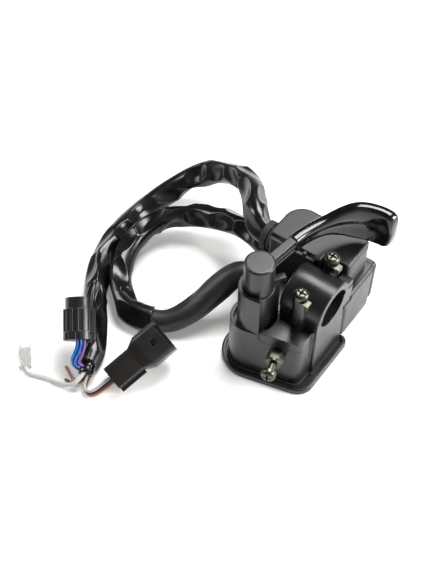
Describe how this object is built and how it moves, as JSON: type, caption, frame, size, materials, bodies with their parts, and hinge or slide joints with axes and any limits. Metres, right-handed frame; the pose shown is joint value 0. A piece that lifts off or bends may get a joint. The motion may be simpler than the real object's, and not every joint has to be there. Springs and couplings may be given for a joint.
{
  "type": "handlebar switch cluster",
  "caption": "Right-hand handlebar control: bar clamp, thumb throttle with pivot column and cable drum, switch box with rear slider and push button, and a sleeved wiring harness with plugs.",
  "frame": {"origin": "on the axis of the handlebar bore, halfway along the clamp", "axes": "+X along the bar towards the grip, +Y towards the switch box, +Z away from the cover on which the part stands"},
  "size_m": [0.1589, 0.1702, 0.0865],
  "materials": {
    "case_paint": "satin black paint on a die casting",
    "box_plastic": "fine-grained black moulding",
    "grip_gloss": "glossy black cover",
    "vinyl": "soft glossy vinyl sleeve",
    "tube_matte": "matte black tube",
    "zinc": "yellowish zinc plate",
    "steel": "bright steel",
    "bearing": "sintered bronze",
    "rubber": "moulded rubber",
    "gasket": "thin seal",
    "contact": "contact metal",
    "insulation": "brown insulating board",
    "knob": "black slider",
    "button_red": "red button",
    "blue_wire": "blue wire insulation",
    "violet_wire": "violet wire insulation",
    "grey_wire": "grey wire insulation",
    "pink_wire": "pink wire insulation",
    "pale_lead": "pale lead",
    "plug": "black connector nylon",
    "clear": "cloudy clear cover"
  },
  "bodies": {
    "cluster": {"throttle_case": "case_paint", "case_cover": "case_paint", "cover_gasket": "gasket", "cover_screws": "zinc", "bar_seat": "case_paint", "seat_screws": "zinc", "clamp_cap": "case_paint", "clamp_tabs": "zinc", "clamp_screws": "zinc", "upper_bush": "bearing", "lower_bush": "bearing", "shaft_seal": "rubber", "return_spring": "steel", "throttle_switch": "plug", "throttle_switch_screw": "zinc", "limiter_locknut": "zinc", "box_upper_shell": "box_plastic", "box_lower_shell": "box_plastic", "box_screws": "zinc", "box_mount_screws": "zinc", "switch_panel": "box_plastic", "panel_screws": "zinc", "button_boot_ring": "rubber", "button_spring": "steel", "switch_base": "insulation", "base_contacts": "contact", "box_grommet": "rubber", "link_grommet": "rubber", "case_grommet": "rubber", "main_sleeve": "vinyl", "link_sleeve": "vinyl", "case_lead": "tube_matte", "sleeve_tie": "rubber", "harness_tape": "vinyl", "blue_wires": "blue_wire", "violet_wire": "violet_wire", "plug_wires": "grey_wire", "spare_leads": "pink_wire", "sense_lead": "pale_lead", "round_connector": "plug", "round_insert": "plug", "square_connector": "plug", "square_insert": "plug", "terminal_cover": "clear"},
    "lever": {"thumb_lever": "case_paint", "lever_grip": "grip_gloss", "pivot_shaft": "steel", "cable_drum": "steel", "drum_washer": "zinc", "drum_nut": "zinc"},
    "limiter": {"limiter_screw": "zinc"},
    "selector": {"selector_knob": "knob", "selector_contact": "insulation", "detent_ball": "steel", "detent_spring": "steel"},
    "button": {"push_button": "button_red", "button_contact": "contact"}
  },
  "joints": [
    {"name": "throttle", "type": "hinge", "parent": "cluster", "child": "lever", "pos_m": [-0.0202, -0.022, 0.02], "axis": [0, 0, -1], "range_deg": [0, 33], "stiffness_Nm_per_rad": 0.2, "springref_deg": -28.65},
    {"name": "speed_limiter", "type": "slide", "parent": "cluster", "child": "limiter", "axis": [0.2588, -0.9659, 0], "range_m": [0, 0.003]},
    {"name": "selector_slide", "type": "slide", "parent": "cluster", "child": "selector", "axis": [1, 0, 0], "range_m": [-0.003, 0.003]},
    {"name": "button_press", "type": "slide", "parent": "cluster", "child": "button", "axis": [0, -1, 0], "range_m": [0, 0.0025], "stiffness_N_per_m": 400, "springref_m": -0.002, "deforming": ["button_spring"]}
  ]
}
